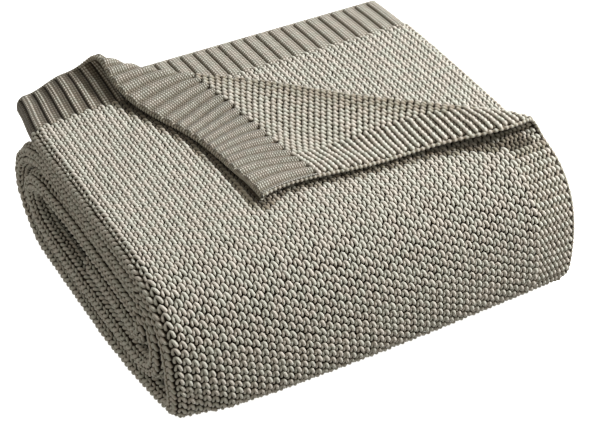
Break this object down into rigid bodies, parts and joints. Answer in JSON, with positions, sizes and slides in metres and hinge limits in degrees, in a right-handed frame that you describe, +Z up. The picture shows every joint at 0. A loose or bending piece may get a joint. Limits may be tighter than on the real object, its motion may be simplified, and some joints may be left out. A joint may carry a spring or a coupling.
{
  "type": "knit blanket",
  "caption": "Knitted blanket folded flat into a soft bundle, with a ribbed hem and one corner of the top layer turned back.",
  "frame": {"origin": "centre of the footprint, on the surface that the bundle rests on", "axes": "+X along the bundle towards the cloth's side edge, +Y from the front turn towards the hem, +Z up"},
  "size_m": [0.4277, 0.3748, 0.1791],
  "materials": {
    "blanket": "matte knitted yarn, warm grey"
  },
  "bodies": {
    "root": {"blanket": "blanket"}
  },
  "joints": []
}
